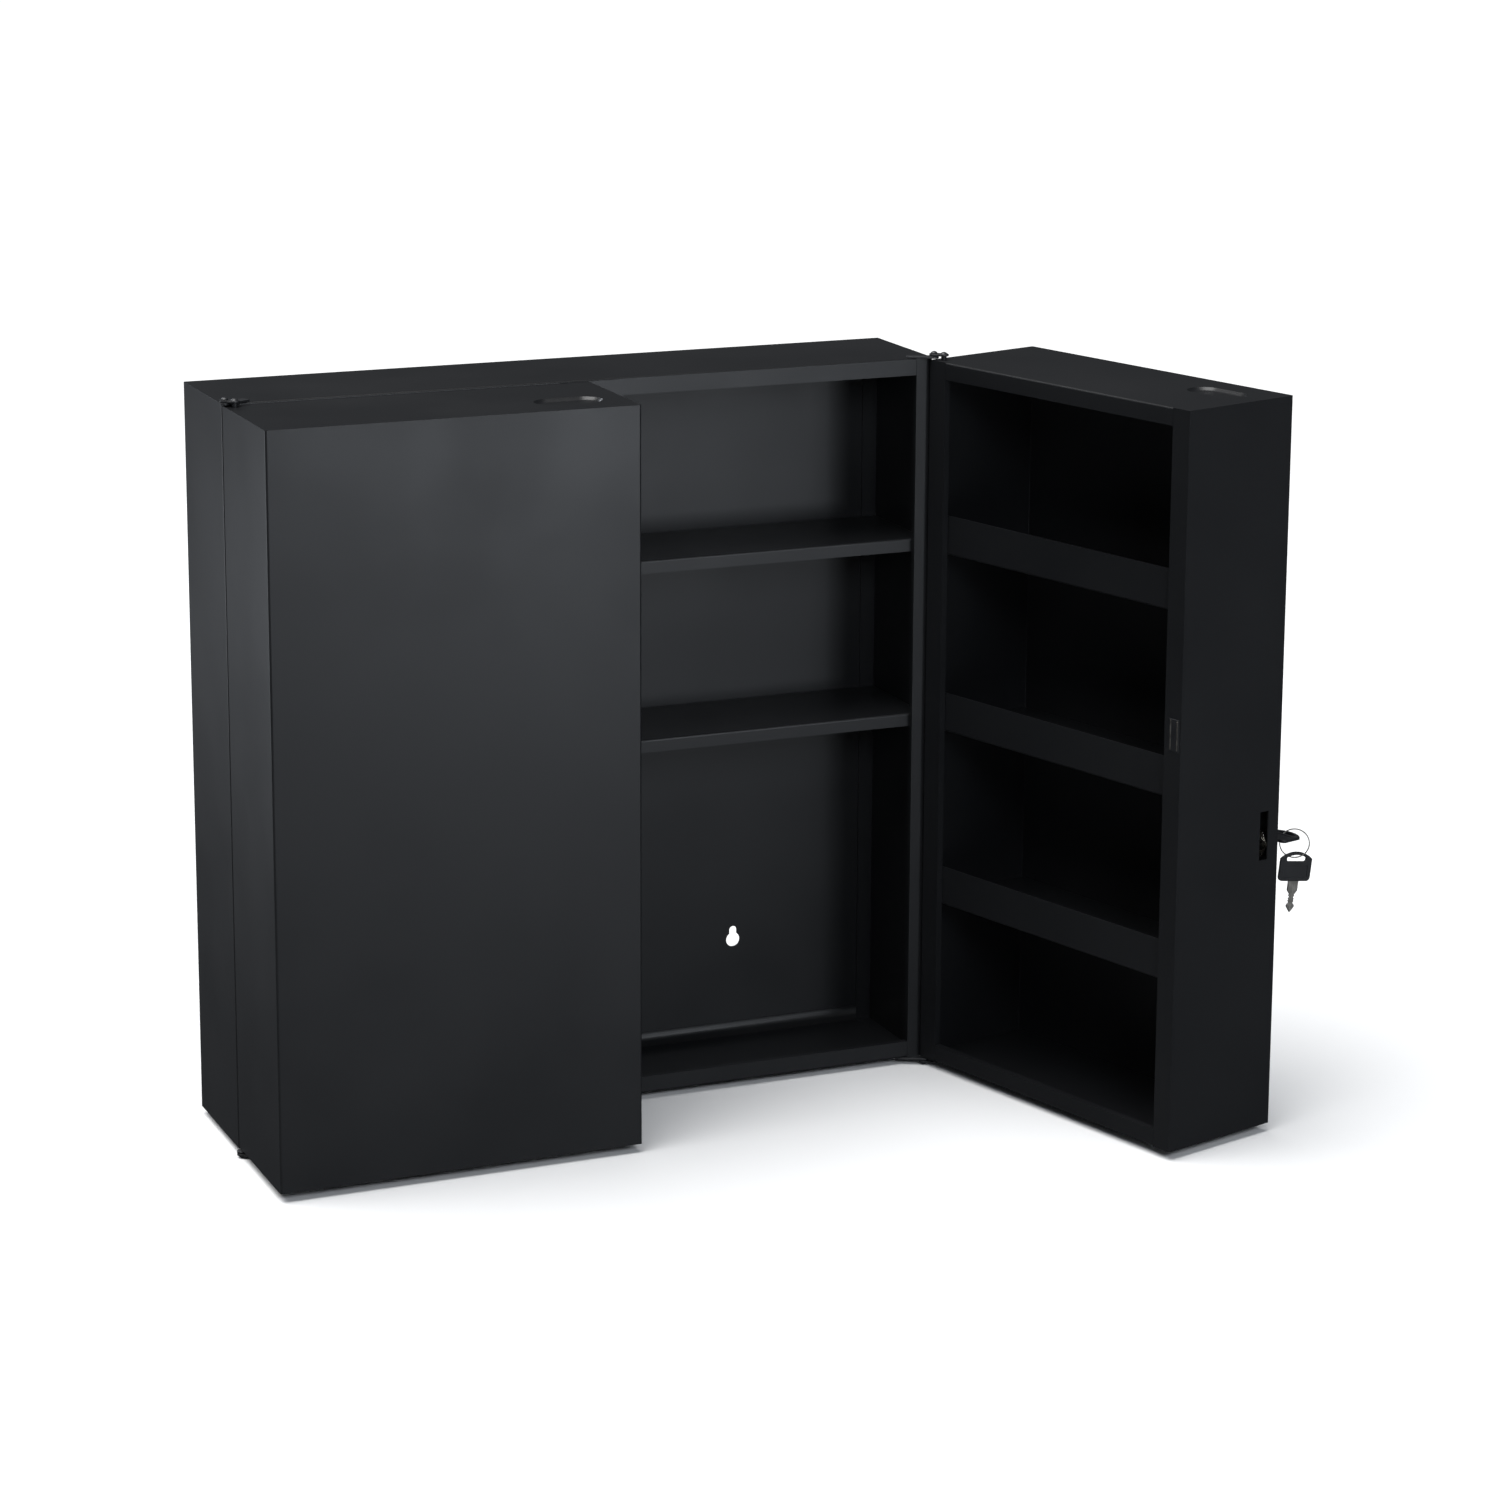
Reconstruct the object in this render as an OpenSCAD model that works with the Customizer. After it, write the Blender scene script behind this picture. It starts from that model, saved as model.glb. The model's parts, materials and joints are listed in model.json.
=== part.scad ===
// Lockable wall cabinet for medicines: a shallow folded-steel body with two fixed
// shelves and two deep box-section doors, each with three railed shelves inside.
// X runs to the right, Y back to the wall and Z up. The origin is the centre of the
// four keyholes on the rear face. The right door is drawn open, turned on its pins.

/* [Cabinet] */
// Width of the body over its sides
body_w = 530; // [420:1:700]
// Height of the body
body_h = 530; // [480:1:700]
// Depth of the body from the wall to its front flanges
body_d = 95; // [75:1:160]
// Thickness of the steel sheet
sheet = 1; // [0.8:0.1:1.5]
// Outside radius of the folds in the body sheets
fold_r = 1.5; // [1.2:0.1:3]
// Width of the front flanges round the body's opening
flange = 12.5; // [10:0.5:20]
// Depth of the hem turned back behind each front flange
hem = 5; // [4:0.5:7]
// Width of the rear lips that the back panel is welded to
rear_lip = 12.5; // [10:0.5:20]

/* [Body shelves] */
// Height of the lower shelf's top above the cabinet's underside
shelf_low_z = 264.5; // [150:0.5:280]
// Height of the upper shelf's top above the cabinet's underside
shelf_high_z = 396; // [330:0.5:430]
// Height of the lip along a shelf's front
shelf_lip = 9.5; // [7:0.5:15]
// Width of the centre post that the doors close on
post_w = 50; // [50:1:60]
// Corner radius of the centre post
post_r = 3; // [1:0.5:6]

/* [Keyholes] */
// Distance across between the keyholes
keyhole_dx = 300; // [200:1:380]
// Height of the lower keyholes above the cabinet's underside
keyhole_low_z = 77; // [50:1:120]
// Height of the upper keyholes below the cabinet's top
keyhole_top = 23; // [22:1:60]
// Diameter of the keyhole's round mouth
keyhole_d = 11; // [9:0.5:14]
// Width of the keyhole's neck
keyhole_neck = 6; // [4:0.5:7]
// Height of the neck's top above the mouth's centre
keyhole_rise = 10.5; // [9:0.5:14]

/* [Doors] */
// Depth of each door
door_d = 100; // [85:1:140]
// Gap between the body's front and a closed door
door_gap = 2; // [1.9:0.1:3]
// Gap between the two closed doors
meeting_gap = 2; // [1.5:0.1:3]
// Step from the cabinet's underside up to the doors
door_low = 1.5; // [1:0.1:3]
// Step from the cabinet's top down to the doors
door_high = 1; // [0.5:0.1:2]
// Outside radius of the folds in the door skins
door_r = 1.5; // [1.2:0.1:3]
// Width of the upright flanges on a door's rear face
door_flange = 16; // [14.5:0.5:22]
// How far the right door stands open
open_angle = 106; // [0:1:150]

/* [Door shelves] */
// Height of the lowest door shelf above the cabinet's underside
bin_z = 122.5; // [100:0.5:130]
// Rise from one door shelf to the next
bin_pitch = 132.25; // [110:0.25:132.25]
// Number of shelves in each door
bin_count = 3; // [1:1:3]
// Height of the rail along a door shelf
rail_h = 29; // [20:1:40]

/* [Grip] */
// Length of the finger recess in a door's top
grip_l = 49; // [40:1:60]
// Width of the finger recess
grip_w = 25; // [18:1:30]
// Depth of the finger recess
grip_t = 2.4; // [2:0.1:6]
// How far the recess's sloping wall reaches inward
grip_slope = 2.5; // [1:0.1:5]
// Distance from the door's free side to the recess
grip_side = 16; // [14:1:30]
// Distance from the door's front to the recess
grip_front = 21; // [14:1:30]

/* [Hinges] */
// Distance of the hinge pins inside the cabinet's side
pivot_in = 1; // [0.5:0.1:2]
// Distance of the hinge pins in front of the doors' rear faces
pivot_front = 2.5; // [1:0.1:4]
// Diameter of the hinge pins
pin_d = 3; // [2.5:0.1:3.5]
// Radial clearance between a pin and the door's ear
pin_fit = 0.05; // [0.03:0.01:0.08]
// Thickness of the hinge plates and ears
plate_t = 1.5; // [1.2:0.1:2]
// Width of the hinge plates and ears
plate_w = 7; // [6:0.5:7]
// Length of the hinge plates from the pin
plate_l = 20; // [18:1:30]
// Distance of an ear's rivet from the pin
ear_l = 7.2; // [7:0.1:10]
// Gap between a hinge plate and the ear over it
plate_gap = 0.4; // [0.3:0.05:0.6]

/* [Magnetic catches] */
// Height of the catches above the cabinet's underside
catch_z = 302; // [290:1:330]
// Width of a catch
catch_w = 9.5; // [8:0.5:10]
// Height of a catch
catch_h = 23; // [18:1:28]
// Depth of a catch behind the door's rear face
catch_d = 12; // [9:0.5:16]
// How far a catch stands proud of the door's rear face
catch_out = 0.5; // [0.2:0.1:0.6]

/* [Lock] */
// Height of the lock's axis above the cabinet's underside
lock_z = 206.6; // [180:0.1:230]
// Distance of the lock's axis from the door's free side
lock_side = 18; // [16:0.5:19]
// Diameter of the lock's barrel
barrel_d = 16; // [14:0.5:18]
// Depth from the door's front to the cam
cam_depth = 14; // [12:0.5:18]
// Thickness of the cam
cam_t = 2; // [1.5:0.1:2.5]
// Length of the cam from the lock's axis to its tip
cam_l = 24; // [23.5:0.1:24.5]
// Width of the cam
cam_w = 10; // [8:0.5:11]
// Height of the cam's slot in the doors' free sides
slot_h = 35.5; // [35:0.5:40]
// Width of the cam's slot
slot_w = 8.4; // [6:0.1:10]
// Height of the slot's middle above the lock's axis
slot_rise = 10.4; // [9:0.1:11]
// Diameter of the turning plug
plug_d = 11; // [10:0.5:12]

/* [Keys] */
// Width of a key's plastic head
head_w = 26; // [20:1:28]
// Length of a key's plastic head
head_l = 21.5; // [20:0.5:28]
// Thickness of a key's plastic head
head_t = 2.2; // [2:0.1:2.4]
// Length of the slot in a key's head
head_slot_l = 16; // [14:0.5:17]
// Width of the slot in a key's head
head_slot_w = 6; // [6:0.5:7]
// Rise of the head's arched end over its corners
head_arch = 5; // [3:0.5:6]
// Width of the rim between the slot and the head's end
head_rim = 2.2; // [1.8:0.1:2.6]
// Length of the key's blade beyond its shoulder
blade_l = 15; // [12:0.5:15]
// Width of the key's blade
blade_w = 6; // [5:0.5:7]
// Thickness of the key's blade
blade_t = 1.6; // [1.2:0.1:2]
// Length of the blade's pointed tip
blade_tip = 4; // [2:0.5:4.5]
// How far the key's shoulder stands out on each side of its blade
shoulder_out = 1; // [0.8:0.1:2]
// Distance from one cut in the blade to the next
cut_pitch = 2; // [1.8:0.1:2.4]
// Length of the key's neck between head and shoulder
neck_l = 8; // [5:0.5:10]
// Middle radius of the key ring
ring_r = 10.5; // [9.5:0.5:14]
// Diameter of the ring's wire
wire_d = 1.2; // [0.8:0.1:1.4]

/* [Hidden] */
$fn = 48;
SHEET_BLACK = "#26272b";
PLATE_BLACK = "#17181a";
NICKEL = "#b9bbbd";
PLASTIC_BLACK = "#141416";
// Small overlap that keeps a cut from ending on a face
eps = 0.02;
// Clearance where a welded piece stops short of a neighbouring fold
weld_gap = 0.2;
// Thickness of the centre post
post_t = sheet;
// Height of the upper keyholes above the cabinet's underside
keyhole_high_z = body_h - keyhole_top;
// Height of the cabinet's underside in this frame
base_z = -(keyhole_low_z + keyhole_high_z) / 2;
// Plane of the body's front flanges and of the closed doors' rear faces
front_y = -body_d;
mating_y = front_y - door_gap;
// Size of one door
door_w = (body_w - meeting_gap) / 2;
door_h = body_h - door_low - door_high;
// Hinge axis of the left door, before mirroring for the right one
pivot_x = -body_w / 2 + pivot_in;
pivot_y = mating_y - pivot_front;
// Directions of the hinge plate and of the closed door's ear, seen from above
plate_angle = 28;
ear_angle = -38;
// Size of the domed heads of the hinge pins and rivets
head_overlap = 1.1;
head_r = pin_d / 2 + head_overlap;
head_h = 1.5;
// Heights of the hinge stack, outward from the cabinet's top or underside
ear_low = plate_t + plate_gap;
ear_high = ear_low + plate_t;
// Plane of the shelves' front lips and of the door shelves' rails, just behind the hems
lip_gap = 0.5;
shelf_front_y = front_y + hem + lip_gap;
rail_y = -hem - lip_gap;
// Place of the catches in a door and the thickness of their pole plates
catch_side = 1;
catch_u = door_w - sheet - catch_w - catch_side;
pole_t = 1;
// Margins of the pole plates inside the catch's case, and how far they pass its face
pole_margin = 1;
pole_back = 2;
pole_out = 0.2;
// Lock places in the door's own coordinates
lock_u = door_w - lock_side;
lock_local_z = lock_z - door_low;
cam_y = -door_d + cam_depth;
bezel_t = 2;
bezel_rim = 2;
bezel_d = barrel_d + 2 * bezel_rim;
bezel_round = 0.6;
barrel_fit = 0.05;
plug_fit = 0.08;
plug_end_gap = 0.3;
plug_flange_t = 0.7;
plug_flange_d = plug_d + 2;
barrel_l = cam_depth - plug_flange_t - plug_end_gap;
cam_hub_d = 14;
square_w = 6;
square_fit = 0.05;
// The cam's screw: diameter and thickness of its head and width of its slot
screw_d = 9;
screw_t = 1.8;
screw_slot = 1;
// The nut inside the door: width over its corners and thickness
nut_wall = 3;
nut_d = barrel_d + 2 * nut_wall;
nut_t = 3;
// Keyway in the plug
keyway_fit = 0.35;
// Planes along the key, outward from the door's front
shoulder_gap = 0.5;
shoulder_v = bezel_t + shoulder_gap;
head_start = shoulder_v + neck_l;
head_end = head_start + head_l;
// Where the ring hangs in the inserted key's head: over the middle of the slot's rim,
// with a gap above it, and out from the door by a shift along the ring
ring_v = head_end - head_rim / 2;
ring_lift = 1.8;
ring_shift = 3.2;
ring_drop = ring_r - wire_d / 2 - ring_lift - head_t / 2;
ring_turn = 45;
// How the spare key hangs on the ring: turned, off its slot's middle and so leaning
spare_turn = 15;
spare_shift = 2;
spare_lean = 6.7;
spare_lift = 1.3;
// Corner radii of a key's head and of the slot in it, and radius of the arched end
head_corner_r = 3;
head_slot_r = 1.5;
arch_r = (head_w * head_w / 4 + head_arch * head_arch) / (2 * head_arch);
// The cuts in a blade: depths from the shoulder on, width of their flat, and first place
CUT_DEPTHS = [1.2, 1.6, 1.3, 1.5];
cut_flat = 0.5;
first_cut = 1.9;

// A block between two corners
module block(low, high) {
    translate(low) cube(high - low);
}

// A rectangle with round corners, from the origin into +X and +Y
module round_rect(w, h, r) {
    translate([r, 0]) square([w - 2 * r, h]);
    translate([0, r]) square([w, h - 2 * r]);
    for (x = [r, w - r], y = [r, h - r]) translate([x, y]) circle(r);
}

// A straight slot with round ends, centred, its length along X
module obround(l, w) {
    square([l - w, w], center = true);
    for (x = [-(l - w) / 2, (l - w) / 2]) translate([x, 0]) circle(d = w);
}

// An angle section: one leg along X, one along Y, outer corner at the origin
module angle_2d(leg_x, leg_y, r, t) {
    difference() {
        union() {
            translate([r, 0]) square([leg_x - r, t]);
            translate([0, r]) square([t, leg_y - r]);
            intersection() {
                translate([r, r]) circle(r);
                square(r);
            }
        }
        translate([r, r]) circle(r - t);
    }
}

// Places a body piece drawn from the cabinet's underside
module in_cabinet() {
    translate([0, 0, base_z]) children();
}

// Places a closed left door's piece drawn from its own rear lower outer corner
module in_left_door() {
    translate([-body_w / 2, mating_y, base_z + door_low]) children();
}

// Places the right door's piece: the left one's mirror image, turned on its pins
module in_right_door() {
    translate([-pivot_x, pivot_y, 0]) rotate([0, 0, open_angle]) translate([pivot_x, -pivot_y, 0])
        mirror([1, 0, 0]) in_left_door() children();
}

// The two sides of the body: a folded sheet with a hemmed front flange and a rear lip
module side_sheet() {
    translate([-body_w / 2, front_y, sheet]) linear_extrude(body_h - 2 * sheet) {
        angle_2d(flange, body_d, fold_r, sheet);
        translate([flange - sheet, sheet]) square([sheet, hem - sheet]);
        translate([sheet, body_d - 2 * sheet]) square([rear_lip - sheet, sheet]);
    }
}

module body_left_side() {
    color(SHEET_BLACK) in_cabinet() side_sheet();
}

module body_right_side() {
    color(SHEET_BLACK) in_cabinet() mirror([1, 0, 0]) side_sheet();
}

// An extrusion of a YZ section along X, centred
module along_x(length) {
    translate([-length / 2, 0, 0]) rotate([90, 0, 90]) linear_extrude(length) children();
}

// The body's bottom: a sheet whose folded front flange fits between the side flanges
module cap_sheet() {
    inner = body_w - 2 * flange - 2 * weld_gap;
    lips = body_w - 2 * rear_lip - 2 * weld_gap;
    along_x(inner) translate([front_y, 0]) {
        angle_2d(body_d, flange, fold_r, sheet);
        translate([sheet, flange - sheet]) square([hem - sheet, sheet]);
    }
    for (side = [0, 1]) mirror([side, 0, 0])
        block([inner / 2 - eps, front_y, 0], [body_w / 2, 0, sheet]);
    translate([-lips / 2, -2 * sheet, sheet]) cube([lips, sheet, rear_lip - sheet]);
}

module body_top() {
    color(SHEET_BLACK) in_cabinet() translate([0, 0, body_h]) mirror([0, 0, 1]) cap_sheet();
}

module body_bottom() {
    color(SHEET_BLACK) in_cabinet() cap_sheet();
}

// A keyhole to drop over a screw's head: round mouth below, narrow neck above
module keyhole() {
    rotate([-90, 0, 0]) {
        cylinder(d = keyhole_d, h = 4 * sheet, center = true);
        translate([0, -keyhole_rise + keyhole_neck / 2, 0])
            cylinder(d = keyhole_neck, h = 4 * sheet, center = true);
        translate([-keyhole_neck / 2, -keyhole_rise + keyhole_neck / 2, -2 * sheet])
            cube([keyhole_neck, keyhole_rise - keyhole_neck / 2, 4 * sheet]);
    }
}

// The flat back panel, welded to the rear lips
module body_back() {
    color(SHEET_BLACK) in_cabinet() difference() {
        block([-body_w / 2 + sheet, -sheet, sheet], [body_w / 2 - sheet, 0, body_h - sheet]);
        for (x = [-keyhole_dx / 2, keyhole_dx / 2], z = [keyhole_low_z, keyhole_high_z])
            translate([x, 0, z]) keyhole();
    }
}

// A fixed shelf: a sheet with a hemmed lip in front and a weld flange at each end
module body_shelf(top_z) {
    depth = -2 * sheet - shelf_front_y;
    half = body_w / 2 - sheet;
    in_cabinet() {
        translate([0, shelf_front_y, top_z]) along_x(2 * half) mirror([0, 1]) {
            angle_2d(depth, shelf_lip, fold_r, sheet);
            translate([sheet, shelf_lip - sheet]) square([hem - sheet, sheet]);
        }
        for (side = [0, 1]) mirror([side, 0, 0])
            block([half - sheet, shelf_front_y + hem + weld_gap, top_z - shelf_lip],
                  [half, -2 * sheet, top_z - sheet]);
    }
}

module lower_shelf() {
    color(SHEET_BLACK) body_shelf(shelf_low_z);
}

module upper_shelf() {
    color(SHEET_BLACK) body_shelf(shelf_high_z);
}

// The steel post welded over the front flanges: the magnets of both doors close on it
module centre_post() {
    color(SHEET_BLACK) in_cabinet()
        translate([-post_w / 2, front_y, sheet]) rotate([90, 0, 0]) linear_extrude(post_t)
            round_rect(post_w, body_h - 2 * sheet, post_r);
}

// A flat strap with a round end and a hole at the origin, along a direction
module strap(length, angle, hole_d) {
    rotate([0, 0, angle]) linear_extrude(plate_t) difference() {
        union() {
            circle(d = plate_w);
            translate([0, -plate_w / 2]) square([length, plate_w]);
        }
        circle(d = hole_d);
    }
}

// A hinge plate for the left side, lying on the body's top and reaching out to the pin
module hinge_plate(upper) {
    translate([pivot_x, pivot_y, upper ? body_h : 0]) mirror([0, 0, upper ? 0 : 1])
        strap(plate_l, plate_angle, pin_d);
}
module left_upper_hinge_plate() {
    color(PLATE_BLACK) in_cabinet() hinge_plate(true);
}

module left_lower_hinge_plate() {
    color(PLATE_BLACK) in_cabinet() hinge_plate(false);
}

module right_upper_hinge_plate() {
    color(PLATE_BLACK) in_cabinet() mirror([1, 0, 0]) hinge_plate(true);
}

module right_lower_hinge_plate() {
    color(PLATE_BLACK) in_cabinet() mirror([1, 0, 0]) hinge_plate(false);
}

// A low domed head standing on the origin: a slice of a ball
module domed_head() {
    ball_r = (head_r * head_r + head_h * head_h) / (2 * head_h);
    rotate_extrude() intersection() {
        translate([0, head_h - ball_r]) circle(ball_r);
        square([head_r, head_h]);
    }
}

// The pins riveted into the left plates, each with a domed head over the ear
module hinge_pins() {
    for (upper = [false, true])
        translate([pivot_x, pivot_y, upper ? body_h : 0]) mirror([0, 0, upper ? 0 : 1]) {
            cylinder(d = pin_d, h = ear_high + plate_gap + eps);
            translate([0, 0, ear_high + plate_gap]) domed_head();
        }
}

module left_hinge_pins() {
    color(PLATE_BLACK) in_cabinet() hinge_pins();
}

module right_hinge_pins() {
    color(PLATE_BLACK) in_cabinet() mirror([1, 0, 0]) hinge_pins();
}

// The folded skin of a door: front, both sides, and hemmed flanges on its rear face
module door_section() {
    inner_r = door_r - sheet;
    translate([0, -door_d]) difference() {
        union() {
            round_rect(door_w, door_d, door_r);
            translate([0, door_d - door_r]) square([door_w, door_r]);
        }
        translate([sheet, sheet]) union() {
            round_rect(door_w - 2 * sheet, door_d - 2 * sheet, inner_r);
            translate([0, door_d - 2 * sheet - inner_r]) square([door_w - 2 * sheet, inner_r]);
        }
        translate([door_flange, door_d - 2 * sheet]) square([door_w - 2 * door_flange, 3 * sheet]);
    }
    for (x = [door_flange - sheet, door_w - door_flange]) translate([x, -hem]) square([sheet, hem - sheet]);
}

// The slot that the lock's cam passes through, and the window behind a catch
module skin_cuts() {
    translate([door_w - 3 * sheet, cam_y + cam_t / 2 - slot_w / 2, lock_local_z + slot_rise - slot_h / 2])
        cube([5 * sheet, slot_w, slot_h]);
    translate([catch_u, -2 * sheet, catch_z - door_low - catch_h / 2])
        cube([catch_w, 4 * sheet, catch_h]);
}

module door_skin() {
    difference() {
        translate([0, 0, sheet]) linear_extrude(door_h - 2 * sheet) door_section();
        skin_cuts();
    }
}

// A door's end sheet with its folded rear flange, drawn as the bottom
module door_cap() {
    inner = door_w - 2 * door_flange - 2 * weld_gap;
    linear_extrude(sheet) translate([0, -door_d]) difference() {
        union() {
            round_rect(door_w, door_d, door_r);
            translate([0, door_d - door_r]) square([door_w, door_r]);
        }
        translate([(door_w - inner) / 2, door_d - 2 * fold_r]) square([inner, 3 * fold_r]);
    }
    translate([door_w / 2, 0, 0]) along_x(inner) mirror([1, 0]) {
        angle_2d(2 * fold_r, flange, fold_r, sheet);
        translate([sheet, flange - sheet]) square([hem - sheet, sheet]);
    }
}

// The space of a pressed dish: a straight slot whose walls slope inward to its floor
module dish(l, w, depth) {
    for (x = [-(l - w) / 2, (l - w) / 2]) translate([x, 0, -depth])
        cylinder(d1 = w - 2 * grip_slope, d2 = w, h = depth);
    along_x(l - w)
        polygon([[-w / 2, 0], [grip_slope - w / 2, -depth], [w / 2 - grip_slope, -depth], [w / 2, 0]]);
}

// The finger recess pressed into a door's top
module grip_place() {
    translate([door_w - grip_side - grip_l / 2, -door_d + grip_front + grip_w / 2, door_h]) children();
}

module door_top_sheet() {
    difference() {
        union() {
            translate([0, 0, door_h]) mirror([0, 0, 1]) door_cap();
            grip_place() translate([0, 0, -sheet / 2]) dish(grip_l + 2 * sheet, grip_w + 2 * sheet, grip_t + sheet / 2);
        }
        grip_place() dish(grip_l, grip_w, grip_t);
        grip_place() linear_extrude(1) obround(grip_l, grip_w);
    }
}

// A door shelf: a sheet with a tall rail along its open side
module door_shelf(index) {
    floor_z = bin_z - door_low + index * bin_pitch;
    translate([door_w / 2, rail_y, floor_z]) along_x(door_w - 2 * sheet) mirror([1, 0])
        angle_2d(door_d - door_r + rail_y, rail_h, fold_r, sheet);
    block([door_r, sheet - door_d, floor_z], [door_w - door_r, door_r - door_d + eps, floor_z + sheet]);
}

// The ear on a door's end sheet that swings on the pin: a strap raised over the
// hinge plate on a round post and riveted there, drawn from the sheet at the given step
module door_ear(step) {
    translate([pivot_in, -pivot_front, 0]) {
        translate([0, 0, step + ear_low]) strap(ear_l, ear_angle, pin_d + 2 * pin_fit);
        rotate([0, 0, ear_angle]) translate([ear_l, 0, 0]) {
            cylinder(d = pin_d + 1, h = step + ear_low + eps);
            translate([0, 0, step + ear_low]) cylinder(d = plate_w, h = plate_t);
            translate([0, 0, step + ear_high - eps]) domed_head();
        }
    }
}

module upper_ear() {
    translate([0, 0, door_h]) door_ear(door_high);
}

module lower_ear() {
    mirror([0, 0, 1]) door_ear(door_low);
}

// The two pole plates of a magnetic catch
module pole_plates() {
    for (x = [pole_margin, catch_w - pole_margin - pole_t])
        block([x, pole_back - catch_d, pole_margin - catch_h / 2],
            [x + pole_t, catch_out, catch_h / 2 - pole_margin]);
}

// A magnetic catch set in the door's rear flange: plastic case and two pole plates
module catch_case() {
    translate([catch_u, 0, catch_z - door_low]) difference() {
        block([0, -catch_d, -catch_h / 2], [catch_w, catch_out - pole_out, catch_h / 2]);
        pole_plates();
    }
}

module catch_poles() {
    translate([catch_u, 0, catch_z - door_low]) pole_plates();
}

module left_door_skin() { color(SHEET_BLACK) in_left_door() door_skin(); }
module left_door_top() { color(SHEET_BLACK) in_left_door() door_top_sheet(); }
module left_door_bottom() { color(SHEET_BLACK) in_left_door() door_cap(); }
module left_door_shelf(index) { color(SHEET_BLACK) in_left_door() door_shelf(index); }
module left_door_upper_ear() { color(PLATE_BLACK) in_left_door() upper_ear(); }
module left_door_lower_ear() { color(PLATE_BLACK) in_left_door() lower_ear(); }
module left_catch() { color(PLASTIC_BLACK) in_left_door() catch_case(); }
module left_catch_poles() { color(NICKEL) in_left_door() catch_poles(); }

module right_door_skin() {
    color(SHEET_BLACK) in_right_door() difference() {
        door_skin();
        in_lock() cylinder(d = barrel_d + 2 * barrel_fit, h = 5 * sheet, center = true);
    }
}
module right_door_top() { color(SHEET_BLACK) in_right_door() door_top_sheet(); }
module right_door_bottom() { color(SHEET_BLACK) in_right_door() door_cap(); }
module right_door_shelf(index) { color(SHEET_BLACK) in_right_door() door_shelf(index); }
module right_door_upper_ear() { color(PLATE_BLACK) in_right_door() upper_ear(); }
module right_door_lower_ear() { color(PLATE_BLACK) in_right_door() lower_ear(); }
module right_catch() { color(PLASTIC_BLACK) in_right_door() catch_case(); }
module right_catch_poles() { color(NICKEL) in_right_door() catch_poles(); }

// Lock axis in the door: +Z out of the door's front, +Y up, origin on the front face
module in_lock() {
    translate([lock_u, -door_d, lock_local_z]) rotate([90, 0, 0]) children();
}

// The threaded barrel with its bezel on the door's front
module lock_barrel() {
    bore = plug_d / 2 + plug_fit;
    color(NICKEL) in_right_door() in_lock() rotate_extrude() difference() {
        union() {
            translate([0, -barrel_l]) square([barrel_d / 2, barrel_l + eps]);
            square([bezel_d / 2 - bezel_round, bezel_t]);
            square([bezel_d / 2, bezel_t - bezel_round]);
            translate([bezel_d / 2 - bezel_round, bezel_t - bezel_round]) circle(bezel_round);
        }
        translate([-1, -cam_depth]) square([bore + 1, cam_depth + bezel_t + 1]);
    }
}

// The hexagon nut that clamps the barrel from inside the door
module lock_nut() {
    color(NICKEL) in_right_door() in_lock() translate([0, 0, -sheet - nut_t]) difference() {
        cylinder(d = nut_d, h = nut_t, $fn = 6);
        translate([0, 0, -1]) cylinder(d = barrel_d, h = nut_t + 2);
    }
}

// The plug that turns in the barrel, with its keyway and a square end for the cam
module lock_plug() {
    color(NICKEL) in_right_door() in_lock() difference() {
        union() {
            translate([0, 0, -cam_depth]) cylinder(d = plug_d, h = cam_depth + bezel_t - plug_end_gap);
            translate([0, 0, -cam_depth]) cylinder(d = plug_flange_d, h = plug_flange_t);
            translate([-square_w / 2, -square_w / 2, -cam_depth - cam_t])
                cube([square_w, square_w, cam_t + eps]);
        }
        translate([-blade_w / 2 - keyway_fit, -blade_t / 2 - keyway_fit, shoulder_v - blade_l - keyway_fit])
            cube([blade_w + 2 * keyway_fit, blade_t + 2 * keyway_fit, blade_l + 1]);
    }
}

// The cam on the plug's square end: it stands up when the door is unlocked
module lock_cam() {
    color(NICKEL) in_right_door() in_lock() translate([0, 0, -cam_depth - cam_t]) linear_extrude(cam_t)
        difference() {
            union() {
                circle(d = cam_hub_d);
                translate([-cam_w / 2, 0]) square([cam_w, cam_l - cam_w / 2]);
                translate([0, cam_l - cam_w / 2]) circle(d = cam_w);
            }
            square(square_w + 2 * square_fit, center = true);
        }
}

// The slotted screw that holds the cam
module cam_screw() {
    color(NICKEL) in_right_door() in_lock() translate([0, 0, -cam_depth - cam_t - screw_t])
        difference() {
            cylinder(d = screw_d, h = screw_t);
            cube([screw_slot, 2 * screw_d, 2 * screw_slot], center = true);
        }
}

// One cut in a key's blade: a V with a flat bottom, opening towards the given side
module key_cut(side) {
    polygon([[0, -cut_flat / 2], [side * blade_w, -cut_flat / 2 - blade_w],
        [side * blade_w, cut_flat / 2 + blade_w], [0, cut_flat / 2]]);
}

// A key drawn along +Z with its shoulder at the origin and its flat in the XZ plane
module key_blade_shape() {
    neck_x = blade_w / 2 + shoulder_out;
    rotate([90, 0, 0]) translate([0, 0, -blade_t / 2]) linear_extrude(blade_t) {
        difference() {
            union() {
                translate([-blade_w / 2, blade_tip - blade_l]) square([blade_w, blade_l - blade_tip]);
                polygon([[-blade_w / 2, blade_tip - blade_l], [0, -blade_l], [blade_w / 2, blade_tip - blade_l]]);
            }
            for (i = [0 : len(CUT_DEPTHS) - 1], side = [-1, 1])
                translate([side * (blade_w / 2 - CUT_DEPTHS[i]), -first_cut - i * cut_pitch])
                    key_cut(side);
        }
        polygon([[-blade_w / 2, 0], [blade_w / 2, 0], [neck_x, shoulder_out], [neck_x, neck_l],
            [-neck_x, neck_l], [-neck_x, shoulder_out]]);
    }
}

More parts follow.
